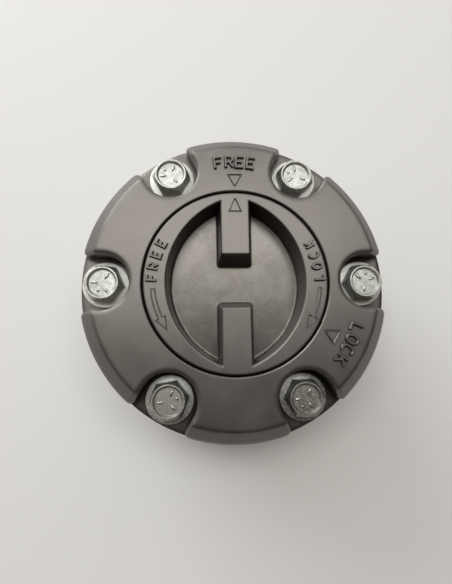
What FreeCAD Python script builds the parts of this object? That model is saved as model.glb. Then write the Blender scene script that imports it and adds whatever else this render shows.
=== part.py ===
# Manual locking hub for the front axle of a four-wheel-drive vehicle.
# Millimetres. Z runs along the axle, front face up; z = 0 is the rear end of the spigot.
# +Y points to the FREE mark, where the control knob stands in this model.
# OVERSHOOT is how far a cutter reaches past the face that it opens.
# TOUCH is how near a point on an edge lies to the level or the circle that it counts as on.
import FreeCAD, Part
import math
import os

Vector = FreeCAD.Vector
AXIS = Vector(0, 0, 1)
ORIGIN = Vector(0, 0, 0)
WIRE_FLATS = 8
OVERSHOOT = 1.0
TOUCH = 0.01
FREE_DEG = 90.0

# Bolts that hold the cover and the body to the wheel hub; their thread stands out of the rear gasket
bolt_count = 6
bolt_radius = 4.0
bolt_thread_length = 14.0
bolt_shank_radius = 3.6
bolt_hole_clearance = 0.3
bolt_flange_radius = 8.9
bolt_flange_edge = 1.3
bolt_flange_slope = 0.15
bolt_across_flats = 13.0
bolt_head_height = 7.0
bolt_crown_radius = 6.0
bolt_crown_deg = 55.0
bolt_dish_radius = 5.5
bolt_dish_depth = 1.1
bolt_dish_taper = 0.65
bolt_tip_chamfer = 0.8
# Turn of each hex head as it was left by the spanner, degrees, from the bolt on +X round to +Y
bolt_head_turns = (0.0, 42.0, 0.0, 55.0, 9.0, 2.0)

# Gaskets, before and behind the body's flange
gasket_thickness = 1.0
gasket_margin = 1.0

# Body
flange_thickness = 18.0
flange_rim = 8.0
body_edge_chamfer = 1.5
spigot_wall = 4.0
spigot_to_bolts = 8.0
spigot_chamfer = 1.5
body_floor_thickness = 2.5
body_throat_clearance = 2.5
body_tooth_count = 36
body_tooth_height = 2.2

# Clutch ring
clutch_height = 11.0
clutch_shoulder_width = 3.1
clutch_shoulder_height = 5.0
clutch_rim = 7.7
clutch_tooth_clearance = 0.3
clutch_tooth_side_clearance = 0.2
clutch_free_gap = 3.4
clutch_engagement = 5.6

# Inner hub, which turns with the axle shaft
inner_tooth_count = 24
inner_tooth_height = 2.6
inner_head_height = 8.5
inner_head_step = 2.0
inner_journal_wall = 7.0
axle_spline_count = 28
axle_spline_radius = 15.0
axle_spline_height = 1.4
axle_lead_in = 1.5
axle_recess_step = 2.5
axle_recess_depth = 4.5

# Hub ring, washers and snap rings
hub_ring_wall = 6.0
hub_ring_length = 9.4
running_clearance = 0.05
seat_clearance = 0.1
spacer_thickness = 1.0
spacer_width = 4.8
snap_ring_thickness = 1.2
snap_ring_width = 3.4
snap_groove_depth = 1.3
snap_ring_opening_deg = 24.0
snap_ring_land = 1.4
inner_hub_land = 0.7
rear_washer_thickness = 0.6

# Cover
cover_rim = 9.6
cover_land = 4.5
bolt_seat_height = 11.0
face_rise = 9.6
cover_bevel = 6.0
cover_bevel_round = 3.5
cover_wall_to_bolts = 8.5
web_thickness = 3.8
notch_radius = 10.5
notch_edge_round = 1.2
notch_mouth_round = 2.6
notch_mouth_break_deg = 24.0

# Control knob
knob_gap = 0.65
knob_thickness = 13.3
knob_seat_clearance = 0.2
knob_edge_chamfer = 0.4
knob_shoulder = 6.35
recess_depth = 10.1
recess_side_land = 8.25
recess_tip_land = 1.68
recess_draft_deg = 5.5
recess_edge_chamfer = 0.35
recess_foot_round = 0.6
recess_floor_thickness = 4.0
grip_half_width = 5.4
grip_side_draft_deg = 7.4
grip_start = 9.9
grip_end_draft_deg = 15.0
grip_corner_round = 1.3
knob_washer_thickness = 0.5
knob_washer_width = 3.8
seal_section_radius = 1.2
seal_squeeze_clearance = 0.1
seal_level = 2.1

# Cam sleeve of the knob and the follower that its slots lead
cam_wall = 3.9
cam_end_wall = 1.4
cam_hub_gap = 0.9
cam_slot_count = 3
cam_turn_deg = 120.0
cam_slot_clearance = 0.2
cam_seat_clearance = 0.35
follower_pin_radius = 2.0
follower_wall = 2.2
follower_pin_wall = 0.55
follower_sleeve_clearance = 0.4
follower_headroom = 0.6
follower_flange_thickness = 1.4
follower_flange_width = 3.6
follower_shoulder_clearance = 0.4
follower_tab_width = 9.0

# Springs
compression_wire = 1.5
compression_turns = 2.5
compression_rear_inset = 3.0
compression_front_inset = 3.5
tension_wire = 1.1
tension_turns = 1.6
tension_spring_height = 2.2
tension_inset = 1.4
spring_seat_clearance = 0.1

# Detent that holds the knob at FREE and at LOCK
detent_ball_radius = 3.0
detent_level = 7.0
detent_protrusion = 0.6
detent_hole_clearance = 0.15
detent_track_clearance = 0.2
detent_hole_depth = 12.5
detent_wire = 0.7
detent_turns = 4.0

# Levels that follow from the stack, from the rear end up
clutch_travel = clutch_free_gap + clutch_engagement
z_snap_groove = snap_ring_land
z_hub_ring_rear = z_snap_groove + snap_ring_thickness + seat_clearance
z_hub_ring_front = z_hub_ring_rear + hub_ring_length
z_body_floor = z_hub_ring_front + body_floor_thickness
z_inner_head = z_body_floor + spacer_thickness + seat_clearance
z_inner_front = z_inner_head + inner_head_height
z_clutch_rear = z_inner_front + clutch_free_gap
z_clutch_front = z_clutch_rear + clutch_height
z_clutch_shoulder = z_clutch_front - clutch_shoulder_height
z_follower_flange = z_clutch_shoulder + tension_spring_height + spring_seat_clearance * 2
z_cam_end = z_inner_front + cam_hub_gap
z_pin_lock = z_cam_end + cam_end_wall + cam_seat_clearance + follower_pin_radius
z_pin_free = z_pin_lock + clutch_travel
z_follower_top = z_pin_free + follower_pin_radius + follower_pin_wall
z_journal_end = z_follower_top + follower_headroom
z_knob_snap_ring = z_journal_end + snap_ring_land + snap_ring_thickness
z_knob_washer = z_knob_snap_ring + seat_clearance + knob_washer_thickness
z_web_rear = z_knob_washer + seat_clearance
z_web_front = z_web_rear + web_thickness
z_knob_rear = z_web_front + knob_seat_clearance
z_face = z_knob_rear + knob_thickness
z_recess_floor = z_face - recess_depth
z_bolt_seat = z_face - face_rise
z_cover_rear = z_bolt_seat - bolt_seat_height
z_flange_front = z_cover_rear - gasket_thickness
z_flange_rear = z_flange_front - flange_thickness
z_rear_seat = z_flange_rear - gasket_thickness

# Radii that follow from the axle outwards
axle_recess_radius = axle_spline_radius + axle_recess_step
inner_journal_radius = axle_spline_radius + inner_journal_wall
inner_root_radius = inner_journal_radius + inner_head_step
inner_tip_radius = inner_root_radius + inner_tooth_height
hub_ring_radius = inner_journal_radius + hub_ring_wall
body_throat_radius = inner_journal_radius + body_throat_clearance
clutch_inner_root_radius = inner_tip_radius + clutch_tooth_clearance
clutch_inner_tip_radius = inner_root_radius + clutch_tooth_clearance
clutch_shoulder_radius = clutch_inner_root_radius + clutch_shoulder_width
clutch_tip_radius = clutch_shoulder_radius + clutch_rim
body_root_radius = clutch_tip_radius + clutch_tooth_clearance
body_tip_radius = body_root_radius - body_tooth_height
clutch_root_radius = body_tip_radius - clutch_tooth_clearance
spigot_radius = body_root_radius + spigot_wall
bolt_circle_radius = spigot_radius + spigot_to_bolts
bolt_hole_radius = bolt_radius + bolt_hole_clearance
flange_radius = bolt_circle_radius + flange_rim
cover_radius = bolt_circle_radius + cover_rim
cover_cavity_radius = bolt_circle_radius - cover_wall_to_bolts
bore_radius = bolt_circle_radius - notch_radius - cover_land
knob_radius = bore_radius - knob_gap
knob_journal_radius = knob_radius - knob_shoulder
follower_flange_radius = clutch_shoulder_radius - follower_shoulder_clearance
follower_outer_radius = follower_flange_radius - follower_flange_width
follower_inner_radius = follower_outer_radius - follower_wall
cam_outer_radius = follower_inner_radius - follower_sleeve_clearance
cam_inner_radius = cam_outer_radius - cam_wall
detent_ball_reach = bore_radius + detent_protrusion - detent_ball_radius

# Recess in the knob, a lens between two equal arcs
recess_half_width = knob_radius - recess_side_land
recess_half_length = knob_radius - recess_tip_land
recess_arc_radius = (recess_half_length ** 2 + recess_half_width ** 2) / (2 * recess_half_width)
recess_arc_offset = recess_arc_radius - recess_half_width


def tan_deg(angle):
    return math.tan(math.radians(angle))


def polar(radius, angle_deg, z=0.0):
    angle = math.radians(angle_deg)
    return Vector(radius * math.cos(angle), radius * math.sin(angle), z)


def disc(radius, z_low, z_high):
    return Part.makeCylinder(radius, z_high - z_low, Vector(0, 0, z_low), AXIS)


def ring(inner, outer, z_low, z_high):
    return disc(outer, z_low, z_high).cut(disc(inner, z_low - OVERSHOOT, z_high + OVERSHOOT))


def revolved(points, turn_deg=360.0):
    """Solid of revolution from (radius, height) corners."""
    corners = [Vector(radius, 0, height) for radius, height in points]
    wire = Part.makePolygon(corners + corners[:1])
    return Part.Face(wire).revolve(ORIGIN, AXIS, turn_deg)


def extruded(wire, z_low, z_high):
    """Prism of a wire drawn at z = 0."""
    prism = Part.Face(wire).extrude(Vector(0, 0, z_high - z_low))
    prism.translate(Vector(0, 0, z_low))
    return prism


def copies(shape, count, first_deg=0.0):
    """Copies of a shape evenly spaced about the axle."""
    turned = []
    for index in range(count):
        copy = shape.copy()
        copy.rotate(ORIGIN, AXIS, first_deg + index * 360.0 / count)
        turned.append(copy)
    return turned


def toothed_outline(count, valley_radius, tooth_radius, valley_half_deg, tooth_half_deg):
    """Closed outline with straight flanks; each land is an arc about the axle."""
    edges = []
    pitch = 360.0 / count
    for index in range(count):
        middle = index * pitch
        low = polar(tooth_radius, middle - tooth_half_deg)
        high = polar(tooth_radius, middle + tooth_half_deg)
        valley = polar(valley_radius, middle + pitch / 2 - valley_half_deg)
        next_valley = polar(valley_radius, middle + pitch / 2 + valley_half_deg)
        next_low = polar(tooth_radius, middle + pitch - tooth_half_deg)
        edges.append(Part.Arc(low, polar(tooth_radius, middle), high).toShape())
        edges.append(Part.LineSegment(high, valley).toShape())
        top = polar(valley_radius, middle + pitch / 2)
        edges.append(Part.Arc(valley, top, next_valley).toShape())
        edges.append(Part.LineSegment(next_valley, next_low).toShape())
    return Part.Wire(edges)


def round_section(centre_radius, thickness, z=0.0):
    """Round section beside the axle, drawn with flats, as (radius, height) corners."""
    corners = []
    for index in range(WIRE_FLATS):
        corner = polar(thickness / 2, 360.0 * index / WIRE_FLATS)
        corners.append((centre_radius + corner.x, z + corner.y))
    return corners


def coil(wire, turns, low_radius, high_radius, z_low, z_high):
    """Spring between two levels, straight or conical."""
    rise = z_high - z_low - wire
    cone = math.atan2(high_radius - low_radius, rise)
    slant = rise / math.cos(cone)
    path = Part.makeHelix(slant / turns, slant, low_radius, math.degrees(cone))
    corners = [Vector(radius, 0, height) for radius, height in round_section(low_radius, wire)]
    section = Part.makePolygon(corners + corners[:1])
    spring = Part.Wire(path).makePipeShell([section], True, True)
    spring.translate(Vector(0, 0, z_low + wire / 2))
    return spring


def snap_ring(inner, outer, z_low):
    """Round retaining ring with its gap on +X."""
    whole = ring(inner, outer, z_low, z_low + snap_ring_thickness)
    reach = outer * 2
    gap = Part.makePolygon([
        ORIGIN,
        polar(reach, -snap_ring_opening_deg / 2),
        polar(reach, snap_ring_opening_deg / 2),
        ORIGIN,
    ])
    return whole.cut(extruded(gap, z_low - OVERSHOOT, z_low + snap_ring_thickness + OVERSHOOT))


def edges_on(shape, wanted):
    """Edges whose every sampled point passes the test."""
    found = []
    for edge in shape.Edges:
        first = edge.FirstParameter
        last = edge.LastParameter
        near_ends_and_middle = (0.05, 0.5, 0.95)
        points = [edge.valueAt(first + (last - first) * share) for share in near_ends_and_middle]
        if all(wanted(point) for point in points):
            found.append(edge)
    return found


def bolt_places():
    return [index * 360.0 / bolt_count for index in range(bolt_count)]


def bolt_holes(radius, z_low, z_high):
    hole = Part.makeCylinder(radius, z_high - z_low, Vector(bolt_circle_radius, 0, z_low), AXIS)
    return copies(hole, bolt_count)


def notch_outline():
    """Pocket round the bolt on +X, open to the outside, its mouth rounded into the rim."""
    round_radius = notch_mouth_round
    corner_y = notch_radius + round_radius
    corner_x = math.sqrt((cover_radius - round_radius) ** 2 - corner_y ** 2)
    corner = Vector(corner_x, corner_y, 0)
    end_deg = math.degrees(math.atan2(corner_y, corner_x)) - notch_mouth_break_deg
    side_start = Vector(bolt_circle_radius, notch_radius, 0)
    side_end = corner + Vector(0, -round_radius, 0)
    arc_middle = corner + polar(round_radius, (end_deg - 90) / 2)
    arc_end = corner + polar(round_radius, end_deg)
    way_out = round_radius * 3
    flare = arc_end + polar(way_out, end_deg + 90)
    far = Vector(cover_radius + way_out, flare.y, 0)

    def mirrored(point):
        return Vector(point.x, -point.y, 0)

    back = Vector(bolt_circle_radius - notch_radius, 0, 0)
    return Part.Wire([
        Part.Arc(mirrored(side_start), back, side_start).toShape(),
        Part.LineSegment(side_start, side_end).toShape(),
        Part.Arc(side_end, arc_middle, arc_end).toShape(),
        Part.LineSegment(arc_end, flare).toShape(),
        Part.LineSegment(flare, far).toShape(),
        Part.LineSegment(far, mirrored(far)).toShape(),
        Part.LineSegment(mirrored(far), mirrored(flare)).toShape(),
        Part.LineSegment(mirrored(flare), mirrored(arc_end)).toShape(),
        Part.Arc(mirrored(arc_end), mirrored(arc_middle), mirrored(side_end)).toShape(),
        Part.LineSegment(mirrored(side_end), mirrored(side_start)).toShape(),
    ])


def on_notch_brim(point):
    """True on the upper edge of a notch wall, where it meets the face, the bevel or the rim."""
    step = 360.0 / bolt_count
    place = round(math.degrees(math.atan2(point.y, point.x)) / step) * step
    away = polar(1.0, place)
    along = point.x * away.x + point.y * away.y - bolt_circle_radius
    side = abs(point.y * away.x - point.x * away.y)
    at_mouth = side < notch_radius + notch_mouth_round * 2
    at_back = math.hypot(along, side) < notch_radius + notch_edge_round
    inside = at_mouth if along > 0 else at_back
    return inside and point.z > z_face - cover_bevel - cover_bevel_round


def detent_track():
    """Groove in the cover's bore that the ball runs along, with the ball's seats as its ends."""
    radius = detent_ball_radius + detent_track_clearance
    level = z_face - detent_level
    first_deg = FREE_DEG - cam_turn_deg
    centre = Vector(0, 0, level)
    track = Part.makeTorus(detent_ball_reach, radius, centre, AXIS, 0, 360, cam_turn_deg)
    track.rotate(ORIGIN, AXIS, first_deg)
    seats = [polar(detent_ball_reach, angle, level) for angle in (first_deg, FREE_DEG)]
    return [track] + [Part.makeSphere(radius, seat) for seat in seats]


def make_cover():
    shell = revolved([
        (bore_radius, z_face),
        (cover_radius - cover_bevel, z_face),
        (cover_radius, z_face - cover_bevel),
        (cover_radius, z_cover_rear),
        (cover_cavity_radius, z_cover_rear),
        (cover_cavity_radius, z_web_rear),
        (knob_journal_radius + running_clearance, z_web_rear),
        (knob_journal_radius + running_clearance, z_web_front),
        (bore_radius, z_web_front),
    ])

    def on_bevel_foot(point):
        return abs(point.z - (z_face - cover_bevel)) < TOUCH

    def on_bore_edge(point):
        return abs(point.z - z_face) < TOUCH and math.hypot(point.x, point.y) < bore_radius + TOUCH

    shell = shell.makeFillet(cover_bevel_round, edges_on(shell, on_bevel_foot))
    shell = shell.makeChamfer(knob_edge_chamfer, edges_on(shell, on_bore_edge))
    notch = extruded(notch_outline(), z_bolt_seat, z_face + OVERSHOOT)
    shell = shell.cut(copies(notch, bolt_count))
    shell = shell.makeFillet(notch_edge_round, edges_on(shell, on_notch_brim))
    shell = shell.cut(bolt_holes(bolt_hole_radius, z_cover_rear - OVERSHOOT, z_bolt_seat + OVERSHOOT))
    return shell.cut(detent_track())


def make_control_knob():
    knob = disc(knob_radius, z_knob_rear, z_face)
    knob = knob.fuse(disc(knob_journal_radius, z_journal_end, z_knob_rear))
    knob = knob.fuse(disc(cam_outer_radius, z_cam_end, z_journal_end))
    hollow_top = z_recess_floor - recess_floor_thickness
    knob = knob.cut(disc(cam_inner_radius, z_cam_end - OVERSHOOT, hollow_top))
    knob = knob.removeSplitter()
    knob = knob.cut(knob_recess())

    def on_outer_edge(point):
        return abs(point.z - z_face) < TOUCH and math.hypot(point.x, point.y) > knob_radius - TOUCH

    knob = knob.makeChamfer(knob_edge_chamfer, edges_on(knob, on_outer_edge))

    seal_floor = bore_radius - seal_section_radius * 2
    seal_low = z_knob_rear + seal_level - seal_section_radius
    knob = knob.cut(ring(seal_floor, knob_radius + OVERSHOOT, seal_low, seal_low + seal_section_radius * 2))
    snap_floor = knob_journal_radius - snap_groove_depth
    snap_low = z_knob_snap_ring - snap_ring_thickness
    knob = knob.cut(ring(snap_floor, knob_journal_radius + OVERSHOOT, snap_low, z_knob_snap_ring))
    knob = knob.cut(detent_hole())
    return knob.cut(copies(cam_slot(), cam_slot_count, FREE_DEG))


def knob_recess():
    """Lens-shaped hollow in the knob's face, less the two grip bars."""
    lens = lens_side(-recess_arc_offset).common(lens_side(recess_arc_offset))
    hollow = lens.cut(copies(grip_bar(), 2)).removeSplitter()

    def on_foot(point):
        return abs(point.z - z_recess_floor) < TOUCH

    return hollow.makeFillet(recess_foot_round, edges_on(hollow, on_foot))


def lens_side(centre_x):
    """Drafted round hollow with a broken edge, whose wall is one side of the lens."""
    floor_radius = recess_arc_radius - recess_depth * tan_deg(recess_draft_deg)
    top = z_face + OVERSHOOT
    hollow = revolved([
        (0, z_recess_floor),
        (floor_radius, z_recess_floor),
        (recess_arc_radius, z_face - recess_edge_chamfer),
        (recess_arc_radius + recess_edge_chamfer + OVERSHOOT, top),
        (0, top),
    ])
    hollow.translate(Vector(centre_x, 0, 0))
    return hollow


def grip_bar():
    """Upper bar, drafted on its two sides and its inner end, with a broken upper edge."""
    low = z_recess_floor - OVERSHOOT
    high = z_face + OVERSHOOT * 2
    bar = drafted_bar(
        low, grip_half_width + (z_face - low) * tan_deg(grip_side_draft_deg),
        grip_start - (z_face - low) * tan_deg(grip_end_draft_deg),
        high, grip_half_width + (z_face - high) * tan_deg(grip_side_draft_deg),
        grip_start - (z_face - high) * tan_deg(grip_end_draft_deg))

    def on_corner(point):
        return point.y < grip_start + OVERSHOOT and abs(point.x) > grip_half_width / 2

    corners = [edge for edge in edges_on(bar, on_corner) if edge.Length > recess_depth]
    bar = bar.makeFillet(grip_corner_round, corners)
    above = high - z_face + recess_edge_chamfer
    below = z_face - recess_edge_chamfer - low
    edge_break = drafted_bar(
        low, grip_half_width + below, grip_start - below,
        high, grip_half_width - above, grip_start + above)
    return bar.common(edge_break)


def drafted_bar(low, half_width_low, start_low, high, half_width_high, start_high):
    """Bar along +Y between two levels, with its half width and the start of its end at each."""
    end = knob_radius + OVERSHOOT
    across = [
        Vector(-half_width_low, -end, low),
        Vector(half_width_low, -end, low),
        Vector(half_width_high, -end, high),
        Vector(-half_width_high, -end, high),
    ]
    along = [
        Vector(-end, start_low, low),
        Vector(-end, end, low),
        Vector(-end, end, high),
        Vector(-end, start_high, high),
    ]
    sides = Part.Face(Part.makePolygon(across + across[:1])).extrude(Vector(0, end * 2, 0))
    ends = Part.Face(Part.makePolygon(along + along[:1])).extrude(Vector(end * 2, 0, 0))
    return sides.common(ends)


def detent_hole():
    radius = detent_ball_radius + detent_hole_clearance
    level = z_face - detent_level
    start = knob_radius - detent_hole_depth
    depth = detent_hole_depth + OVERSHOOT
    return Part.makeCylinder(radius, depth, Vector(0, start, level), Vector(0, 1, 0))


def cam_slot():
    """Helical slot through the sleeve, from the FREE seat at angle 0 down to the LOCK seat."""
    lead = clutch_travel * 360.0 / cam_turn_deg
    steepest = math.atan2(lead, 2 * math.pi * cam_inner_radius)
    half_height = (follower_pin_radius + cam_slot_clearance) / math.cos(steepest)
    seat_radius = follower_pin_radius + cam_seat_clearance
    near = cam_inner_radius - OVERSHOOT
    far = cam_outer_radius + OVERSHOOT
    path = Part.makeHelix(lead, clutch_travel, cam_outer_radius, 0, True)
    section = Part.makePolygon([
        Vector(near, 0, -half_height),
        Vector(far, 0, -half_height),
        Vector(far, 0, half_height),
        Vector(near, 0, half_height),
        Vector(near, 0, -half_height),
    ])
    slot = Part.Wire(path).makePipeShell([section], True, True)
    slot.rotate(ORIGIN, AXIS, cam_turn_deg)
    slot.translate(Vector(0, 0, z_pin_lock))
    lock_seat = Part.makeCylinder(seat_radius, far - near, Vector(near, 0, z_pin_lock), Vector(1, 0, 0))
    lock_seat.rotate(ORIGIN, AXIS, cam_turn_deg)
    free_seat = Part.makeCylinder(seat_radius, far - near, Vector(near, 0, z_pin_free), Vector(1, 0, 0))
    return slot.fuse([lock_seat, free_seat])


def make_knob_seal():
    thickness = (seal_section_radius - seal_squeeze_clearance) * 2
    centre_radius = bore_radius - seal_squeeze_clearance - thickness / 2
    return revolved(round_section(centre_radius, thickness, z_knob_rear + seal_level))


def make_knob_washer():
    inner = knob_journal_radius + seat_clearance * 2
    return ring(inner, inner + knob_washer_width, z_knob_washer - knob_washer_thickness, z_knob_washer)


def make_knob_snap_ring():
    inner = knob_journal_radius - snap_groove_depth + seat_clearance / 2
    return snap_ring(inner, inner + snap_ring_width, z_knob_snap_ring - snap_ring_thickness)


def make_detent_ball():
    return Part.makeSphere(detent_ball_radius, Vector(0, detent_ball_reach, z_face - detent_level))


def make_detent_spring():
    start = knob_radius - detent_hole_depth + spring_seat_clearance
    radius = detent_ball_radius - detent_wire
    seat = math.sqrt((detent_ball_radius + detent_wire / 2) ** 2 - radius ** 2)
    end = detent_ball_reach - seat + detent_wire / 2 - spring_seat_clearance
    spring = coil(detent_wire, detent_turns, radius, radius, 0, end - start)
    spring.rotate(ORIGIN, Vector(1, 0, 0), -90)
    spring.translate(Vector(0, start, z_face - detent_level))
    return spring


def make_bolts():
    return Part.makeCompound([
        turned_bolt(place, turn)
        for place, turn in zip(bolt_places(), bolt_head_turns)
    ])


def turned_bolt(place_deg, head_turn_deg):
    """One-piece hex flange bolt with a dished head; its thread is plain at the thread's outer size."""
    corner_radius = bolt_across_flats / math.sqrt(3)
    corners = [polar(corner_radius, head_turn_deg + 60 * index) for index in range(6)]
    hexagon = extruded(Part.makePolygon(corners + corners[:1]), 0, bolt_head_height)
    crown_drop = (corner_radius + OVERSHOOT - bolt_crown_radius) * tan_deg(bolt_crown_deg)
    crown = revolved([
        (0, 0),
        (corner_radius + OVERSHOOT, 0),
        (corner_radius + OVERSHOOT, bolt_head_height - crown_drop),
        (bolt_crown_radius, bolt_head_height),
        (0, bolt_head_height),
    ])
    flange_rise = (bolt_flange_radius - bolt_across_flats / 2) * bolt_flange_slope
    flange = revolved([
        (0, 0),
        (bolt_flange_radius, 0),
        (bolt_flange_radius, bolt_flange_edge),
        (bolt_across_flats / 2, bolt_flange_edge + flange_rise),
        (0, bolt_flange_edge + flange_rise),
    ])
    dish = revolved([
        (0, bolt_head_height - bolt_dish_depth),
        (bolt_dish_radius - bolt_dish_taper, bolt_head_height - bolt_dish_depth),
        (bolt_dish_radius, bolt_head_height),
        (bolt_dish_radius, bolt_head_height + OVERSHOOT),
        (0, bolt_head_height + OVERSHOOT),
    ])
    z_thread = z_rear_seat - z_bolt_seat
    z_tip = z_thread - bolt_thread_length
    shank = revolved([
        (0, 0),
        (bolt_shank_radius, 0),
        (bolt_shank_radius, z_thread),
        (bolt_radius, z_thread),
        (bolt_radius, z_tip + bolt_tip_chamfer),
        (bolt_radius - bolt_tip_chamfer, z_tip),
        (0, z_tip),
    ])
    bolt = hexagon.common(crown).fuse([flange, shank]).cut(dish).removeSplitter()
    bolt.translate(Vector(bolt_circle_radius, 0, z_bolt_seat))
    bolt.rotate(ORIGIN, AXIS, place_deg)
    bolt.rotate(polar(bolt_circle_radius, place_deg), AXIS, -place_deg)
    return bolt


def make_gasket(z_low, inner):
    outer = flange_radius - gasket_margin
    flat = ring(inner, outer, z_low, z_low + gasket_thickness)
    hole_radius = bolt_hole_radius + seat_clearance
    return flat.cut(bolt_holes(hole_radius, z_low - OVERSHOOT, z_low + gasket_thickness + OVERSHOOT))


def make_cover_gasket():
    return make_gasket(z_flange_front, cover_cavity_radius + gasket_margin)


def make_rear_gasket():
    return make_gasket(z_rear_seat, spigot_radius + gasket_margin)


def make_hub_body():
    groove_radius = hub_ring_radius + snap_groove_depth
    shell = revolved([
        (hub_ring_radius, 0),
        (spigot_radius - spigot_chamfer, 0),
        (spigot_radius, spigot_chamfer),
        (spigot_radius, z_flange_rear),
        (flange_radius - body_edge_chamfer, z_flange_rear),
        (flange_radius, z_flange_rear + body_edge_chamfer),
        (flange_radius, z_flange_front),
        (body_root_radius, z_flange_front),
        (body_root_radius, z_body_floor),
        (body_throat_radius, z_body_floor),
        (body_throat_radius, z_hub_ring_front),
        (hub_ring_radius, z_hub_ring_front),
        (hub_ring_radius, z_snap_groove + snap_ring_thickness),
        (groove_radius, z_snap_groove + snap_ring_thickness),
        (groove_radius, z_snap_groove),
        (hub_ring_radius, z_snap_groove),
    ])
    tooth_half_deg = 90.0 / body_tooth_count
    bore = toothed_outline(
        body_tooth_count, body_tip_radius, body_root_radius, tooth_half_deg, tooth_half_deg)
    teeth = ring(body_tip_radius, body_root_radius + OVERSHOOT, z_body_floor, z_flange_front)
    teeth = teeth.cut(extruded(bore, z_body_floor - OVERSHOOT, z_flange_front + OVERSHOOT))
    shell = shell.fuse(teeth).removeSplitter()
    return shell.cut(bolt_holes(bolt_hole_radius, z_flange_rear - OVERSHOOT, z_flange_front + OVERSHOOT))


def make_clutch_ring():
    side_deg = math.degrees(clutch_tooth_side_clearance / clutch_tip_radius)
    outer_half_deg = 90.0 / body_tooth_count
    outline = toothed_outline(
        body_tooth_count, clutch_root_radius, clutch_tip_radius,
        outer_half_deg + side_deg, outer_half_deg - side_deg)
    inner_side_deg = math.degrees(clutch_tooth_side_clearance / inner_tip_radius)
    inner_half_deg = 90.0 / inner_tooth_count
    window = toothed_outline(
        inner_tooth_count, clutch_inner_tip_radius, clutch_inner_root_radius,
        inner_half_deg - inner_side_deg, inner_half_deg + inner_side_deg)
    blank = extruded(outline, z_clutch_rear, z_clutch_front)
    blank = blank.cut(extruded(window, z_clutch_rear - OVERSHOOT, z_clutch_shoulder + OVERSHOOT))
    return blank.cut(disc(clutch_shoulder_radius, z_clutch_shoulder, z_clutch_front + OVERSHOOT))


def make_inner_hub():
    side_deg = math.degrees(clutch_tooth_side_clearance / inner_tip_radius)
    half_deg = 90.0 / inner_tooth_count
    head = toothed_outline(
        inner_tooth_count, inner_root_radius, inner_tip_radius, half_deg, half_deg - side_deg)
    hub = extruded(head, z_inner_head, z_inner_front)
    rear = z_snap_groove - inner_hub_land
    hub = hub.fuse(disc(inner_journal_radius, rear, z_inner_head))
    half_spline_deg = 90.0 / axle_spline_count
    spline = toothed_outline(
        axle_spline_count, axle_spline_radius - axle_spline_height, axle_spline_radius,
        half_spline_deg, half_spline_deg)
    hub = hub.cut(extruded(spline, rear - OVERSHOOT, z_inner_front + OVERSHOOT))
    z_recess = z_inner_front - axle_recess_depth
    hub = hub.cut(disc(axle_recess_radius, z_recess, z_inner_front + OVERSHOOT))
    lead_in = revolved([
        (0, rear - OVERSHOOT),
        (axle_spline_radius + OVERSHOOT, rear - OVERSHOOT),
        (axle_spline_radius, rear),
        (axle_spline_radius - axle_lead_in, rear + axle_lead_in),
        (0, rear + axle_lead_in),
    ])
    hub = hub.cut(lead_in)
    floor = inner_journal_radius - snap_groove_depth
    z_groove_top = z_snap_groove + snap_ring_thickness
    return hub.cut(ring(floor, inner_journal_radius + OVERSHOOT, z_snap_groove, z_groove_top))


def make_hub_ring():
    inner = inner_journal_radius + running_clearance
    outer = hub_ring_radius - running_clearance
    return ring(inner, outer, z_hub_ring_rear + rear_washer_thickness, z_hub_ring_front)


def make_rear_washer():
    inner = inner_journal_radius + seat_clearance
    outer = hub_ring_radius - seat_clearance
    return ring(inner, outer, z_hub_ring_rear, z_hub_ring_rear + rear_washer_thickness)


def make_spacer():
    inner = inner_journal_radius + seat_clearance
    return ring(inner, inner + spacer_width, z_body_floor, z_body_floor + spacer_thickness)


def make_inner_snap_ring():
    inner = inner_journal_radius - snap_groove_depth + seat_clearance / 2
    return snap_ring(inner, inner + snap_ring_width, z_snap_groove)


def make_body_snap_ring():
    outer = hub_ring_radius + snap_groove_depth - seat_clearance / 2
    return snap_ring(outer - snap_ring_width, outer, z_snap_groove)


def make_follower():
    """Ring round the cam sleeve, with pins into its slots and tabs that carry the clutch ring."""
    z_low = z_clutch_shoulder + seat_clearance
    body = ring(follower_inner_radius, follower_outer_radius, z_low, z_follower_top)
    flange = ring(
        follower_inner_radius, follower_flange_radius,
        z_follower_flange, z_follower_flange + follower_flange_thickness)
    tab = Part.makeBox(
        follower_flange_radius + OVERSHOOT, follower_tab_width, follower_flange_thickness + OVERSHOOT * 2,
        Vector(0, -follower_tab_width / 2, z_follower_flange - OVERSHOOT))
    tabs = flange.common(Part.makeCompound(copies(tab, cam_slot_count, FREE_DEG)))
    pin_start = cam_inner_radius + seat_clearance
    pin_length = (follower_inner_radius + follower_outer_radius) / 2 - pin_start
    pin = Part.makeCylinder(
        follower_pin_radius, pin_length, Vector(pin_start, 0, z_pin_free), Vector(1, 0, 0))
    return body.fuse([tabs] + copies(pin, cam_slot_count, FREE_DEG)).removeSplitter()


def make_tension_spring():
    low = z_clutch_shoulder + spring_seat_clearance
    high = z_follower_flange - spring_seat_clearance
    radius = follower_flange_radius - tension_inset
    return coil(tension_wire, tension_turns, radius, radius, low, high)


def make_compression_spring():
    low = z_clutch_front + spring_seat_clearance
    high = z_web_rear - spring_seat_clearance
    low_radius = clutch_shoulder_radius + compression_rear_inset
    high_radius = cover_cavity_radius - compression_front_inset
    return coil(compression_wire, compression_turns, low_radius, high_radius, low, high)


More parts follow.
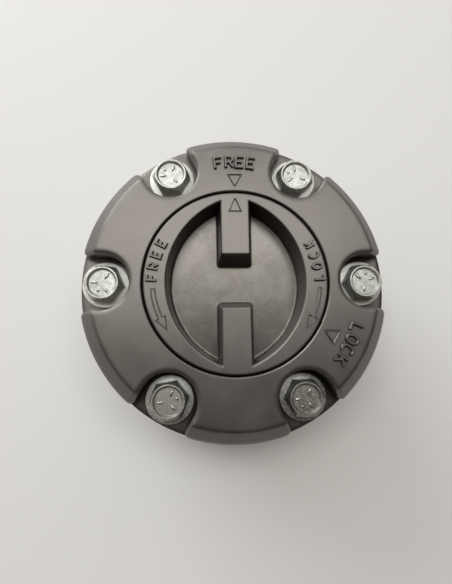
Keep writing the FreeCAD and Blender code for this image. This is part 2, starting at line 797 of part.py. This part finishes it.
NODES = {
    "cover": make_cover,
    "control_knob": make_control_knob,
    "knob_seal_ring": make_knob_seal,
    "knob_washer": make_knob_washer,
    "knob_snap_ring": make_knob_snap_ring,
    "detent_ball": make_detent_ball,
    "detent_spring": make_detent_spring,
    "cover_bolts": make_bolts,
    "cover_gasket": make_cover_gasket,
    "rear_gasket": make_rear_gasket,
    "hub_body": make_hub_body,
    "clutch_ring": make_clutch_ring,
    "cam_follower": make_follower,
    "tension_spring": make_tension_spring,
    "compression_spring": make_compression_spring,
    "inner_hub": make_inner_hub,
    "hub_ring": make_hub_ring,
    "inner_hub_spacer": make_spacer,
    "rear_washer": make_rear_washer,
    "inner_hub_snap_ring": make_inner_snap_ring,
    "hub_ring_snap_ring": make_body_snap_ring,
}

os.makedirs("parts", exist_ok=True)
for node, make in NODES.items():
    shape = make()
    shape.exportStep("parts/" + node + ".step")
    print(node, "solids", len(shape.Solids), "valid", shape.isValid(), "volume", round(shape.Volume, 1))
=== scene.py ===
"""Looks of a manual locking hub: painted casting, zinc-plated bolts, raised marks, light."""
import bpy
import math
from mathutils import Matrix, Vector


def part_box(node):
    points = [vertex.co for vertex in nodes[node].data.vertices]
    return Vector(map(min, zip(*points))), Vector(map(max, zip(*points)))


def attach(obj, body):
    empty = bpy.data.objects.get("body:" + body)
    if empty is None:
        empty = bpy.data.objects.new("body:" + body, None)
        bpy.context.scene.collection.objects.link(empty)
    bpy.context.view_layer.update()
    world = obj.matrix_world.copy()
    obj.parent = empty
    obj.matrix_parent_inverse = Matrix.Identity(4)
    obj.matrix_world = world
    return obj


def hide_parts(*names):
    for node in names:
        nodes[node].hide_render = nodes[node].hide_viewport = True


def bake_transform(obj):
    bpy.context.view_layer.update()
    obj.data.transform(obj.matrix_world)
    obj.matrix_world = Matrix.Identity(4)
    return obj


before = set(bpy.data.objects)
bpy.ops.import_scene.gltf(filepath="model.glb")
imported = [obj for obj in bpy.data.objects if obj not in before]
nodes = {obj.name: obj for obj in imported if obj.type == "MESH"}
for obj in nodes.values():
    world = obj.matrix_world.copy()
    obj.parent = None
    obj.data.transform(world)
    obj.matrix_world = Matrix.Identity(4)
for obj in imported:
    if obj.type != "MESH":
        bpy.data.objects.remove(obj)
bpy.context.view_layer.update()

MM = 0.001

# Levels that the marks stand on, from the frame; all lengths here are in millimetres
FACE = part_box("cover")[1].z / MM
HEAD_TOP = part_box("cover_bolts")[1].z / MM

# Camera, fitted to the photograph's perspective; turns are in radians
CAMERA_PLACE = (-9.86, -23.52, 186.51)
CAMERA_TURN_X = 0.1550
CAMERA_TURN_Y = -0.0470
CAMERA_TURN_Z = -0.0070
FOCAL_PIXELS = 344.4
IMAGE_HEIGHT_PIXELS = 584
CENTRE_RISE_PIXELS = 1.0
SENSOR_MM = 36.0
CLIP_START = 10.0

# Side of the room that is pale, as a direction
PALE_SIDE = (-0.42, 0.91, 0.0)

# Side of the hub facing the room's dim side, as a direction; the cover's painted shade and the
# bolt heads' dirt and painted shade grow towards it
SHADE_AND_DIRT_SIDE = (0.3, -0.95, 0.0)

# Rounding that the casting, paint and plating leave on edges; round its bore the cover is crisp
COVER_EDGE = 2.4
BORE_EDGE = 0.4
BORE_ZONE = 36.5
BORE_FADE = 2.0
KNOB_EDGE = 0.8
ZINC_EDGE = 0.2
MARK_EDGE = 0.1

# Depths below the face between which the knob's recess has its rough floor
FLOOR_TOP = 9.4
FLOOR_FOOT = 11.5
FLOOR_FADE = 0.5

# Painted shade in the cover's corners: how far it looks for a wall, and where it sets in along the
# side given above
PAINTED_SHADE_REACH = 7.0
PAINTED_SHADE_START = -20.0
PAINTED_SHADE_FULL = 30.0

# Dirt and painted shade on the bolt heads, growing towards the side given above
DIRT_AND_SHADE_START = 18.0
DIRT_AND_SHADE_FULL = 50.0

# Raised marks: heights, slope and rounding of their lines, and the lines' widths
LETTER_RISE = 1.0
SIGN_RISE = 0.5
MARK_SINK = 0.1
MARK_FOOT = 0.16
MARK_ROUND = 0.25
COVER_LETTER = 0.95
KNOB_LETTER = 0.9
SIGN_LINE = 0.35
ARROW_LINE = 0.3
ARROW_STEPS = 6
TIP_SHIFT = 0.25
TIP_HALF = 0.22
MITRE_LIMIT = 0.35

# Grade marks on the bolt heads; each ring is a share of the pad's half size and its height
PAD_STEPS = 14
PAD_RINGS = ((1.0, -0.1), (1.0, 0.05), (0.9, 0.26), (0.66, 0.42), (0.3, 0.47))
DASH_MIDDLE = 2.95
DASH_HALF_LENGTH = 1.35
DASH_HALF_WIDTH = 0.5
DOT_MIDDLE = 3.2
DOT_HALF = 0.55

# Bolts
BOLT_CIRCLE = 50.0
DISH_DEPTH = 1.1
BOLT_SEAT = HEAD_TOP - 7.0
FLANGE_TOP = HEAD_TOP - 5.1
LEVEL_FADE = 0.2
THREAD_RADIUS = 4.0
THREAD_PITCH = 1.25
THREAD_RISE = 0.14
THREAD_TOP = BOLT_SEAT - 31.4
THREAD_FOOT = BOLT_SEAT - 44.0
THREAD_SINK = 0.05
THREAD_STEPS = 28

# Angles between faces above which an edge is drawn sharp, in degrees
NODE_SHARP = 28
MARK_SHARP = 40
PAD_SHARP = 75
THREAD_SHARP = 30

# Room: how bright its dim and pale sides are, and their tints
DIM_LEVEL = 0.08
PALE_LEVEL = 0.95
DIM_TINT = (1.0, 0.76, 0.6, 1)
PALE_TINT = (0.97, 0.98, 1.0, 1)

# Half the floor's side
FLOOR_HALF = 3000.0


def place_camera():
    """Puts the camera where the photograph was taken from."""
    data = bpy.data.cameras.new("camera")
    data.sensor_fit = "AUTO"
    data.sensor_width = SENSOR_MM
    data.lens = FOCAL_PIXELS / IMAGE_HEIGHT_PIXELS * SENSOR_MM
    data.shift_y = -CENTRE_RISE_PIXELS / IMAGE_HEIGHT_PIXELS
    data.clip_start = CLIP_START * MM
    camera = bpy.data.objects.new("camera", data)
    bpy.context.scene.collection.objects.link(camera)
    turn_x = Matrix.Rotation(CAMERA_TURN_X, 4, "X")
    turn_y = Matrix.Rotation(CAMERA_TURN_Y, 4, "Y")
    turn_z = Matrix.Rotation(CAMERA_TURN_Z, 4, "Z")
    place = Matrix.Translation(Vector(CAMERA_PLACE) * MM)
    camera.matrix_world = place @ turn_x @ turn_y @ turn_z
    bpy.context.scene.camera = camera


# Node helpers

class Shader:
    """A material and short calls that add and join its nodes."""

    def __init__(self, name):
        self.material = bpy.data.materials.new(name)
        self.material.use_nodes = True
        self.tree = self.material.node_tree
        self.bsdf = self.tree.nodes["Principled BSDF"]

    def add(self, kind, **inputs):
        node = self.tree.nodes.new(kind)
        for key, value in inputs.items():
            self.feed(node.inputs[key.replace("_", " ")], value)
        return node

    def feed(self, socket, value):
        if isinstance(value, bpy.types.NodeSocket):
            self.tree.links.new(value, socket)
        else:
            socket.default_value = value

    def place(self):
        return self.add("ShaderNodeTexCoord").outputs["Object"]

    def height(self):
        return self.add("ShaderNodeSeparateXYZ", Vector=self.place()).outputs["Z"]

    def along(self, direction):
        """How far the point lies along a direction, in metres."""
        node = self.add("ShaderNodeVectorMath", Vector=self.place())
        node.operation = "DOT_PRODUCT"
        node.inputs[1].default_value = direction
        return node.outputs["Value"]

    def from_axis(self):
        """How far the point lies from the hub's axis, in metres."""
        flat = self.add("ShaderNodeVectorMath", Vector=self.place())
        flat.operation = "MULTIPLY"
        flat.inputs[1].default_value = (1, 1, 0)
        node = self.add("ShaderNodeVectorMath", Vector=flat.outputs["Vector"])
        node.operation = "LENGTH"
        return node.outputs["Value"]

    def noise(self, scale_per_mm, detail=4.0, roughness=0.6):
        node = self.add(
            "ShaderNodeTexNoise", Vector=self.place(),
            Scale=scale_per_mm / MM, Detail=detail, Roughness=roughness)
        return node.outputs["Fac"]

    def math(self, operation, first, second=0.0):
        node = self.tree.nodes.new("ShaderNodeMath")
        node.operation = operation
        self.feed(node.inputs[0], first)
        self.feed(node.inputs[1], second)
        return node.outputs[0]

    def spread(self, value, low, high, to_low=0.0, to_high=1.0):
        node = self.add(
            "ShaderNodeMapRange", Value=value,
            From_Min=low, From_Max=high, To_Min=to_low, To_Max=to_high)
        return node.outputs["Result"]

    def both(self, first, second):
        return self.math("MULTIPLY", first, second)

    def mix(self, share, first, second):
        node = self.tree.nodes.new("ShaderNodeMix")
        node.data_type = "RGBA"
        self.feed(node.inputs["Factor"], share)
        self.feed(node.inputs["A"], first)
        self.feed(node.inputs["B"], second)
        return node.outputs["Result"]

    def bump(self, height, strength, distance_mm, normal=None):
        node = self.add(
            "ShaderNodeBump", Height=height, Strength=strength, Distance=distance_mm * MM)
        if normal is not None:
            self.feed(node.inputs["Normal"], normal)
        return node.outputs["Normal"]

    def soft_edges(self, radius):
        node = self.add("ShaderNodeBevel", Radius=radius)
        node.samples = 6
        return node.outputs["Normal"]

    def set(self, **inputs):
        for key, value in inputs.items():
            self.feed(self.bsdf.inputs[key.replace("_", " ")], value)


def colour(red, green, blue):
    """Linear colour from the 0 to 255 values that a screen shows."""
    parts = []
    for value in (red, green, blue):
        share = value / 255
        parts.append(share / 12.92 if share <= 0.04045 else ((share + 0.055) / 1.055) ** 2.4)
    return (*parts, 1.0)


def painted_casting(name, edge_round, rough_floor=False, crisp_bore_and_shade=False):
    """Satin grey paint over a fine cast surface.

    rough_floor is for the knob, whose recess floor is coarser, stained and speckled. The last
    flag is for the cover, which has crisp edges round its bore and painted shade in its corners.
    """
    shader = Shader(name)
    cloud = shader.noise(0.05, 3.0)
    fleck = shader.noise(1.6, 2.0)
    grain = shader.noise(4.0, 3.0, 0.7)
    base = shader.mix(
        shader.spread(cloud, 0.35, 0.65), colour(110, 106, 102), colour(120, 116, 112))
    base = shader.mix(
        shader.spread(fleck, 0.62, 0.74, 0.0, 0.35), base, colour(138, 134, 129))
    gloss = shader.spread(cloud, 0.3, 0.7, 0.37, 0.43)
    rounding = edge_round * MM
    if crisp_bore_and_shade:
        outer = shader.spread(shader.from_axis(), BORE_ZONE * MM, (BORE_ZONE + BORE_FADE) * MM)
        rounding = shader.spread(outer, 0.0, 1.0, BORE_EDGE * MM, edge_round * MM)
    normal = shader.bump(grain, 0.35, 0.05, shader.soft_edges(rounding))
    if rough_floor:
        height = shader.height()
        below = shader.spread(
            height, (FACE - FLOOR_TOP - FLOOR_FADE) * MM, (FACE - FLOOR_TOP) * MM, 1.0, 0.0)
        above = shader.spread(
            height, (FACE - FLOOR_FOOT) * MM, (FACE - FLOOR_FOOT + FLOOR_FADE) * MM)
        floor = shader.both(below, above)
        sand = shader.noise(3.0, 3.0, 0.65)
        stain = shader.noise(0.16, 4.0, 0.55)
        dark = shader.both(shader.spread(stain, 0.42, 0.62, 0.28, 0.62), floor)
        base = shader.mix(dark, base, colour(88, 84, 79))
        speck = shader.both(shader.spread(sand, 0.55, 0.75, 0.0, 0.7), floor)
        base = shader.mix(speck, base, colour(156, 152, 147))
        normal = shader.bump(shader.both(sand, floor), 0.35, 0.1, normal)
        gloss = shader.math("SUBTRACT", gloss, shader.both(floor, 0.1))
    # Painted shade: the cover's paint darkens where ambient occlusion finds walls near, more so
    # towards the room's dim side
    if crisp_bore_and_shade:
        inside = shader.add("ShaderNodeAmbientOcclusion", Distance=PAINTED_SHADE_REACH * MM)
        inside.samples = 8
        depth = shader.spread(inside.outputs["AO"], 0.35, 0.85, 0.85, 0.0)
        side = shader.spread(
            shader.along(SHADE_AND_DIRT_SIDE), PAINTED_SHADE_START * MM, PAINTED_SHADE_FULL * MM, 0.25, 1.0)
        share = shader.both(shader.both(depth, side), outer)
        base = shader.mix(share, base, colour(50, 45, 40))
    shader.set(Base_Color=base, Roughness=gloss, Normal=normal, Metallic=0.9)
    return shader.material


def zinc_plate():
    """Bright zinc on forged bolts: mottled, softly rippled, whiter flanges, dirt and painted shade
    on the heads.
    """
    shader = Shader("zinc_plate")
    mottle = shader.noise(0.7, 4.0, 0.65)
    ripple = shader.noise(1.4, 3.0, 0.6)
    height = shader.height()
    head = shader.spread(height, (BOLT_SEAT - LEVEL_FADE) * MM, BOLT_SEAT * MM)
    flange = shader.both(
        shader.spread(height, FLANGE_TOP * MM, (FLANGE_TOP + LEVEL_FADE) * MM, 1.0, 0.0), head)
    base = shader.mix(
        shader.spread(mottle, 0.4, 0.65), colour(202, 203, 197), colour(174, 176, 170))
    base = shader.mix(flange, base, colour(228, 229, 224))
    # Dirt and painted shade: the heads darken in mottled patches towards the room's dim side
    dirt_and_shade = shader.both(
        shader.spread(shader.along(SHADE_AND_DIRT_SIDE), DIRT_AND_SHADE_START * MM, DIRT_AND_SHADE_FULL * MM, 0.0, 0.9),
        shader.spread(shader.noise(1.1, 5.0, 0.7), 0.36, 0.66, 0.25, 1.0))
    base = shader.mix(shader.both(dirt_and_shade, head), base, colour(96, 90, 83))
    gloss = shader.spread(mottle, 0.3, 0.7, 0.4, 0.52)
    gloss = shader.math("ADD", gloss, shader.both(flange, 0.12))
    normal = shader.bump(ripple, 0.4, 0.08, shader.soft_edges(ZINC_EDGE * MM))
    shader.set(Base_Color=base, Roughness=gloss, Normal=normal, Metallic=0.95)
    return shader.material


def stamped_zinc():
    """Smooth zinc of the raised grade marks."""
    shader = Shader("stamped_zinc")
    mottle = shader.noise(1.5, 3.0)
    base = shader.mix(
        shader.spread(mottle, 0.35, 0.65), colour(206, 207, 201), colour(170, 171, 165))
    shader.set(
        Base_Color=base, Roughness=shader.spread(mottle, 0.3, 0.7, 0.22, 0.34), Metallic=0.95)
    return shader.material


def machined(name, light, dark, metallic, low_gloss, high_gloss, grain_per_mm):
    """Plain machined, blackened, sintered or moulded finish with a fine grain."""
    shader = Shader(name)
    grain = shader.noise(grain_per_mm, 4.0)
    shader.set(
        Base_Color=shader.mix(shader.spread(grain, 0.35, 0.65), light, dark),
        Metallic=metallic, Roughness=shader.spread(grain, 0.3, 0.7, low_gloss, high_gloss),
        Normal=shader.bump(grain, 0.3, 0.04))
    return shader.material


def shade(mesh, sharp_deg):
    mesh.polygons.foreach_set("use_smooth", [True] * len(mesh.polygons))
    mesh.set_sharp_from_angle(angle=math.radians(sharp_deg))


def dress_nodes():
    """Gives every CAD node its finish and smooth shading between its sharp edges."""
    cover_paint = painted_casting("cover_paint", COVER_EDGE, crisp_bore_and_shade=True)
    knob_paint = painted_casting("knob_paint", KNOB_EDGE, rough_floor=True)
    steel = machined("steel", colour(180, 180, 182), colour(150, 150, 153), 1.0, 0.28, 0.42, 0.9)
    spring_steel = machined(
        "spring_steel", colour(92, 92, 96), colour(70, 70, 74), 0.9, 0.3, 0.45, 1.5)
    finishes = {
        "cover": cover_paint,
        "control_knob": knob_paint,
        "cover_bolts": zinc_plate(),
        "hub_body": machined(
            "body_iron", colour(128, 126, 122), colour(112, 110, 106), 0.85, 0.36, 0.46, 3.0),
        "hub_ring": machined(
            "bronze", colour(172, 138, 92), colour(146, 112, 70), 0.9, 0.35, 0.5, 2.0),
        "knob_seal_ring": machined(
            "rubber", colour(38, 38, 38), colour(26, 26, 26), 0.0, 0.55, 0.7, 2.5),
        "cover_gasket": machined(
            "gasket", colour(96, 92, 84), colour(74, 70, 63), 0.0, 0.7, 0.85, 1.8),
    }
    finishes["rear_gasket"] = finishes["cover_gasket"]
    for name in ("knob_snap_ring", "detent_spring", "tension_spring", "compression_spring",
                 "inner_hub_snap_ring", "hub_ring_snap_ring"):
        finishes[name] = spring_steel
    for name, node in nodes.items():
        node.data.materials.clear()
        node.data.materials.append(finishes.get(name, steel))
        shade(node.data, NODE_SHARP)


def stretch_spring():
    """Replaces the compression spring by a copy in the same place, with its transform baked into
    its mesh.
    """
    node = nodes["compression_spring"]
    piece = bpy.data.objects.new("compression_coil", node.data.copy())
    bpy.context.scene.collection.objects.link(piece)
    piece.matrix_world = node.matrix_world
    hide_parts("compression_spring")
    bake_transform(piece)


def add_piece(name, vertices, faces, level, material, sharp_deg):
    """Object from vertices in millimetres, whose heights count from a level."""
    mesh = bpy.data.meshes.new(name)
    mesh.from_pydata([(x * MM, y * MM, (level + z) * MM) for x, y, z in vertices], [], faces)
    mesh.validate()
    mesh.materials.append(material)
    shade(mesh, sharp_deg)
    piece = bpy.data.objects.new(name, mesh)
    bpy.context.scene.collection.objects.link(piece)
    return piece


# Lines that raised marks are drawn with

def unit(vector):
    return vector / vector.length


def side_ways(points, closed):
    """For each point, the mitred way to the line's left per unit of half width."""
    ways = []
    count = len(points)
    for index, point in enumerate(points):
        before = points[index - 1] if closed or index > 0 else None
        after = points[(index + 1) % count] if closed or index < count - 1 else None
        first = unit(point - before) if before is not None else None
        second = unit(after - point) if after is not None else None
        if first is None:
            first = second
        if second is None:
            second = first
        left_one = Vector((-first.y, first.x))
        left_two = Vector((-second.y, second.x))
        middle = unit(left_one + left_two)
        ways.append(middle / max(middle.dot(left_one), MITRE_LIMIT))
    return ways


def add_ridge(vertices, faces, points, closed, width, rise):
    """Raised line with sloped sides along points, all in millimetres on a level plane."""
    half = width / 2
    section = [
        (half + MARK_FOOT, -MARK_SINK),
        (half, rise - MARK_ROUND),
        (half - MARK_ROUND, rise),
        (-half + MARK_ROUND, rise),
        (-half, rise - MARK_ROUND),
        (-half - MARK_FOOT, -MARK_SINK),
    ]
    first = len(vertices)
    for point, way in zip(points, side_ways(points, closed)):
        for side, level in section:
            vertices.append((point.x + way.x * side, point.y + way.y * side, level))
    size = len(section)
    spans = len(points) if closed else len(points) - 1
    for index in range(spans):
        here = first + index * size
        there = first + (index + 1) % len(points) * size
        for corner in range(size):
            after = (corner + 1) % size
            faces.append((here + corner, there + corner, there + after, here + after))
    if not closed:
        last = first + (len(points) - 1) * size
        faces.append(tuple(first + corner for corner in range(size)))
        faces.append(tuple(last + corner for corner in reversed(range(size))))


def add_pad(vertices, faces, centre, half_length, half_width):
    """Low oval dome; half_length is a vector along its length."""
    across = Vector((-half_length.y, half_length.x)).normalized() * half_width
    first = len(vertices)
    for share, rise in PAD_RINGS:
        for step in range(PAD_STEPS):
            angle = math.tau * step / PAD_STEPS
            along = half_length * (share * math.cos(angle))
            point = centre + along + across * (share * math.sin(angle))
            vertices.append((point.x, point.y, rise))
    for level in range(len(PAD_RINGS) - 1):
        for step in range(PAD_STEPS):
            here = first + level * PAD_STEPS + step
            after = first + level * PAD_STEPS + (step + 1) % PAD_STEPS
            faces.append((here, after, after + PAD_STEPS, here + PAD_STEPS))
    faces.append(tuple(reversed(range(first, first + PAD_STEPS))))
    last = first + (len(PAD_RINGS) - 1) * PAD_STEPS
    faces.append(tuple(range(last, last + PAD_STEPS)))


def bow(centre_x, centre_y, radius_x, radius_y, first_deg, last_deg, steps):
    """Points along an arc of an ellipse."""
    points = []
    for step in range(steps + 1):
        angle = math.radians(first_deg + (last_deg - first_deg) * step / steps)
        x = centre_x + radius_x * math.cos(angle)
        y = centre_y + radius_y * math.sin(angle)
        points.append((x, y))
    return points


def letter_lines(letter):
    """Strokes of a plain capital in a box one unit wide and one high, as (points, closed)."""
    bowl = bow(0.5, 0.745, 0.46, 0.255, 90, -90, 8)
    strokes = {
        "F": [([(0, 0), (0, 1), (1, 1)], False), ([(0.1, 0.52), (0.8, 0.52)], False)],
        "R": [([(0, 0), (0, 1)] + bowl + [(0.1, 0.49)], False), ([(0.5, 0.45), (0.98, 0)], False)],
        "E": [([(1, 1), (0, 1), (0, 0), (1, 0)], False), ([(0.1, 0.52), (0.8, 0.52)], False)],
        "L": [([(0, 1), (0, 0), (0.9, 0)], False)],
        "O": [(bow(0.5, 0.5, 0.52, 0.5, 0, 345, 23), True)],
        "C": [(bow(0.52, 0.5, 0.52, 0.5, 48, 312, 18), False)],
        "K": [([(0, 0), (0, 1)], False), ([(0.95, 1), (0.1, 0.4)], False),
              ([(0.36, 0.56), (1, 0)], False)],
    }
    return strokes[letter]


def turned(clockwise_deg):
    """Outward and clockwise directions at an angle counted clockwise from +Y."""
    angle = math.radians(clockwise_deg)
    outward = Vector((math.sin(angle), math.cos(angle)))
    clockwise = Vector((math.cos(angle), -math.sin(angle)))
    return outward, clockwise


def word_lines(word, centres_deg, inner, outer, width, tops_outward=True):
    """Letters round the hub's axis, each square to its own radius, between two radii."""
    lines = []
    for letter, centre_deg in zip(word, centres_deg):
        outward, clockwise = turned(centre_deg)
        up = outward if tops_outward else -outward
        across = clockwise if tops_outward else -clockwise
        foot = outward * (inner if tops_outward else outer)
        for stroke, closed in letter_lines(letter):
            points = []
            for x, y in stroke:
                points.append(foot + across * ((x - 0.5) * width) + up * (y * (outer - inner)))
            lines.append((points, closed))
    return lines


def ring_place(clockwise_deg, radius):
    """Place on a circle round the hub's axis."""
    return turned(clockwise_deg)[0] * radius


def triangle_lines(centre_deg, tip_radius, base_radius, half_base):
    """Outline triangle whose tip lies on a radius through centre_deg."""
    outward, clockwise = turned(centre_deg)
    tip = outward * (tip_radius + TIP_SHIFT)
    points = [
        tip - clockwise * TIP_HALF,
        outward * tip_radius,
        tip + clockwise * TIP_HALF,
        outward * base_radius + clockwise * half_base,
        outward * base_radius - clockwise * half_base,
    ]
    return [(points, True)]


def arrow_lines(start_deg, neck_deg, tip_deg, tip_radius, shaft_radius, shaft_half, head_half):
    """Hollow arrow bent round the knob's ring."""
    outline = []
    for side in (1, -1):
        sweep = []
        for step in range(ARROW_STEPS + 1):
            angle = start_deg + (neck_deg - start_deg) * step / ARROW_STEPS
            sweep.append(ring_place(angle, shaft_radius + side * shaft_half))
        sweep.append(ring_place(neck_deg, shaft_radius + side * head_half))
        outline.append(sweep)
    points = outline[0] + [ring_place(tip_deg, tip_radius)] + outline[1][::-1]
    return [(points, True)]


def add_marks(paint):
    """FREE and LOCK, their triangles and the knob's arrows; all are generic function marks."""
    marks = (
        ("cover_free_mark", "housing", COVER_LETTER, LETTER_RISE,
         word_lines("FREE", (-7.7, -2.4, 2.6, 7.9), 44.6, 48.9, 2.85)),
        ("cover_free_triangle", "housing", SIGN_LINE, SIGN_RISE,
         triangle_lines(0, 37.1, 41.7, 2.6)),
        ("cover_lock_mark", "housing", COVER_LETTER, LETTER_RISE,
         word_lines("LOCK", (112.7, 117.9, 123.0, 128.4), 45.3, 49.7, 2.85)),
        ("cover_lock_triangle", "housing", SIGN_LINE, SIGN_RISE,
         triangle_lines(120.4, 37.2, 42.2, 2.75)),
        ("knob_free_mark", "knob", KNOB_LETTER, LETTER_RISE,
         word_lines("FREE", (272.0, 280.0, 288.3, 297.0), 29.3, 32.8, 2.0)),
        ("knob_lock_mark", "knob", KNOB_LETTER, LETTER_RISE,
         word_lines("LOCK", (88.0, 80.3, 72.2, 63.8), 29.2, 32.7, 2.0, tops_outward=False)),
        ("knob_free_arrow", "knob", ARROW_LINE, SIGN_RISE,
         arrow_lines(264.5, 244.0, 235.2, 31.0, 30.9, 0.75, 1.9)),
        ("knob_lock_arrow", "knob", ARROW_LINE, SIGN_RISE,
         arrow_lines(95.5, 116.0, 124.6, 31.1, 31.3, 0.62, 1.95)),
        ("knob_pointer", "knob", SIGN_LINE, SIGN_RISE,
         triangle_lines(0, 31.6, 26.9, 2.35)),
    )
    for name, body, width, rise, lines in marks:
        vertices = []
        faces = []
        for points, closed in lines:
            add_ridge(vertices, faces, points, closed, width, rise)
        piece = add_piece(name, vertices, faces, FACE, paint, MARK_SHARP)
        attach(piece, body)


def add_bolt_marks(zinc):
    """Three grade dashes and a dot on each dished head.

    Each bolt's angles are those of its place, its first dash and its dot, clockwise from +Y.
    """
    turns = {
        "bolt_marks_right": (90, 307, 14),
        "bolt_marks_upper_right": (30, 354, 296),
        "bolt_marks_upper_left": (330, 20, 313),
        "bolt_marks_left": (270, 33, 208),
        "bolt_marks_lower_left": (210, 22, 73),
        "bolt_marks_lower_right": (150, 27, 208),
    }
    for name, (place_deg, dash_deg, dot_deg) in turns.items():
        centre = ring_place(place_deg, BOLT_CIRCLE)
        vertices = []
        faces = []
        for index in range(3):
            outward = turned(dash_deg + index * 120)[0]
            add_pad(vertices, faces, centre + outward * DASH_MIDDLE,
                    outward * DASH_HALF_LENGTH, DASH_HALF_WIDTH)
        outward = turned(dot_deg)[0]
        add_pad(vertices, faces, centre + outward * DOT_MIDDLE, outward * DOT_HALF, DOT_HALF)
        piece = add_piece(name, vertices, faces, HEAD_TOP - DISH_DEPTH, zinc, PAD_SHARP)
        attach(piece, "housing")


def add_threads(zinc):
    """Fine helical ridge on each bolt's plain threaded end.

    The ridge's corners are given by how far out they lie and by their height in pitches.
    """
    turns = (THREAD_TOP - THREAD_FOOT) / THREAD_PITCH
    steps = int(turns * THREAD_STEPS)
    section = ((-THREAD_SINK, -0.5), (THREAD_RISE, 0.0), (-THREAD_SINK, 0.5))
    size = len(section)
    for index in range(6):
        centre = ring_place(index * 60 + 30, BOLT_CIRCLE)
        vertices = []
        faces = []
        for step in range(steps + 1):
            angle = math.tau * turns * step / steps
            height = THREAD_FOOT + (THREAD_TOP - THREAD_FOOT) * step / steps
            for out, rise in section:
                radius = THREAD_RADIUS + out
                x = centre.x + radius * math.cos(angle)
                y = centre.y + radius * math.sin(angle)
                vertices.append((x, y, height + rise * THREAD_PITCH))
            if step < steps:
                here = step * size
                there = here + size
                for corner in range(size):
                    after = (corner + 1) % size
                    faces.append((here + corner, there + corner, there + after, here + after))
        last = steps * size
        faces.append((2, 1, 0))
        faces.append((last, last + 1, last + 2))
        name = "bolt_thread_" + str(index + 1)
        piece = add_piece(name, vertices, faces, 0.0, zinc, THREAD_SHARP)
        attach(piece, "housing")


def add_floor():
    """Pale table top that keeps the shadow."""
    shader = Shader("floor")
    shader.set(Base_Color=colour(242, 242, 240), Roughness=0.75)
    half = FLOOR_HALF * MM
    corners = [(-half, -half, 0), (half, -half, 0), (half, half, 0), (-half, half, 0)]
    mesh = bpy.data.meshes.new("floor")
    mesh.from_pydata(corners, [], [(0, 1, 2, 3)])
    mesh.materials.append(shader.material)
    floor = bpy.data.objects.new("floor", mesh)
    bpy.context.scene.collection.objects.link(floor)


def area_light(name, place, target, size_x, size_y, power, tint):
    """Soft rectangular lamp that the camera doesn't see; lengths in metres, power in watts."""
    data = bpy.data.lights.new(name, "AREA")
    data.color = tint
    data.shape = "RECTANGLE"
    data.size = size_x
    data.size_y = size_y
    data.energy = power
    lamp = bpy.data.objects.new(name, data)
    bpy.context.scene.collection.objects.link(lamp)
    lamp.location = place
    lamp.visible_camera = False
    lamp.rotation_euler = (Vector(target) - Vector(place)).to_track_quat("-Z", "Y").to_euler()


def add_light():
    """Wide soft lamp overhead, and a room that is pale behind the hub and dim in front of it."""
    world = bpy.data.worlds.new("room")
    bpy.context.scene.world = world
    world.use_nodes = True
    tree = world.node_tree
    background = tree.nodes["Background"]
    way = tree.nodes.new("ShaderNodeTexCoord")
    toward = tree.nodes.new("ShaderNodeVectorMath")
    toward.operation = "DOT_PRODUCT"
    toward.inputs[1].default_value = PALE_SIDE
    tree.links.new(way.outputs["Generated"], toward.inputs[0])
    level = tree.nodes.new("ShaderNodeMapRange")
    level.interpolation_type = "SMOOTHSTEP"
    levels = {"From Min": -0.15, "From Max": 0.85, "To Min": DIM_LEVEL, "To Max": PALE_LEVEL}
    for key, value in levels.items():
        level.inputs[key].default_value = value
    tree.links.new(toward.outputs["Value"], level.inputs["Value"])
    tree.links.new(level.outputs["Result"], background.inputs["Strength"])
    tint = tree.nodes.new("ShaderNodeMix")
    tint.data_type = "RGBA"
    tint.inputs["A"].default_value = DIM_TINT
    tint.inputs["B"].default_value = PALE_TINT
    tree.links.new(level.outputs["Result"], tint.inputs["Factor"])
    tree.links.new(tint.outputs["Result"], background.inputs["Color"])
    area_light(
        "window", place=(0.0, 0.31, 0.98), target=(0, 0, 0.04),
        size_x=1.06, size_y=0.29, power=4.2, tint=(0.98, 1.0, 0.975))
    area_light(
        "doorway", place=(-0.85, 1.15, 0.5), target=(0, 0, 0.05),
        size_x=1.0, size_y=0.7, power=13.0, tint=(0.99, 1.0, 1.0))
    bpy.context.scene.view_settings.view_transform = "Standard"


place_camera()
dress_nodes()
stretch_spring()
add_marks(painted_casting("mark_paint", MARK_EDGE))
add_bolt_marks(stamped_zinc())
add_threads(nodes["cover_bolts"].data.materials[0])
add_floor()
add_light()
